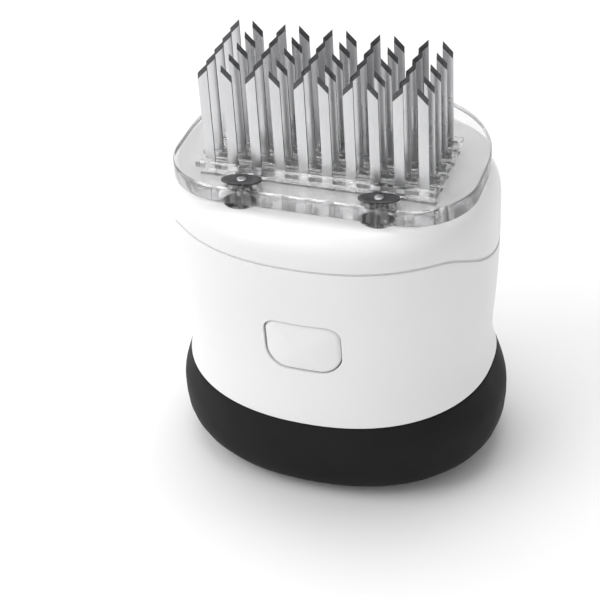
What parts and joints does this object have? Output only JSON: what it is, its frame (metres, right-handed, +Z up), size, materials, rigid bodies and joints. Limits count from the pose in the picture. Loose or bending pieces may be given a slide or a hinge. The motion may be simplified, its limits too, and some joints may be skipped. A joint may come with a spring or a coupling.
{
  "type": "blade meat tenderizer",
  "caption": "Hand meat tenderizer with an oval grip, rows of slanted steel blades, a clear sliding blade guard and a push button on the front.",
  "frame": {"origin": "middle of the flat foot under the grip, on the surface that the object stands on", "axes": "+Z up along the blades, -Y towards the push button, +X to the right seen from the button's side"},
  "size_m": [0.1077, 0.083, 0.142],
  "materials": {
    "white_plastic": "glossy injection-moulded white",
    "black_elastomer": "soft matt black overmould",
    "clear_plastic": "clear moulded plastic",
    "blade_steel": "ground stainless strip",
    "turned_steel": "turned face, dark",
    "plain_steel": "bright drawn steel",
    "spring_steel": "drawn spring wire",
    "grey_plastic": "plain moulded grey"
  },
  "bodies": {
    "handle": {"grip": "black_elastomer", "handle_shell": "white_plastic", "upper_housing": "white_plastic", "blade_carrier": "grey_plastic", "backing_plate": "plain_steel", "housing_screws": "plain_steel", "blade_row_1": "blade_steel", "blade_row_2": "blade_steel", "blade_row_3": "blade_steel", "blade_row_4": "blade_steel", "blade_row_5": "blade_steel", "blade_rods": "plain_steel", "guide_bushes": "grey_plastic", "stop_buffers": "black_elastomer", "spring_pins": "plain_steel", "guard_springs": "spring_steel", "button_spring": "spring_steel"},
    "guard": {"guard_plate": "clear_plastic", "cap_discs": "turned_steel", "cap_screws": "plain_steel", "guide_rods": "plain_steel", "front_slider": "grey_plastic", "rear_slider": "grey_plastic", "rod_nuts": "plain_steel"},
    "button": {"button_cap": "white_plastic", "latch_hook": "grey_plastic", "latch_screw": "plain_steel"}
  },
  "joints": [
    {"name": "guard_slide", "type": "slide", "parent": "handle", "child": "guard", "axis": [0, 0, 1], "range_m": [0, 0.036], "deforming": ["guard_springs"]},
    {"name": "button_press", "type": "slide", "parent": "handle", "child": "button", "axis": [0, 1, 0], "range_m": [0, 0.003], "stiffness_N_per_m": 400, "springref_m": -0.002, "deforming": ["button_spring"]}
  ]
}
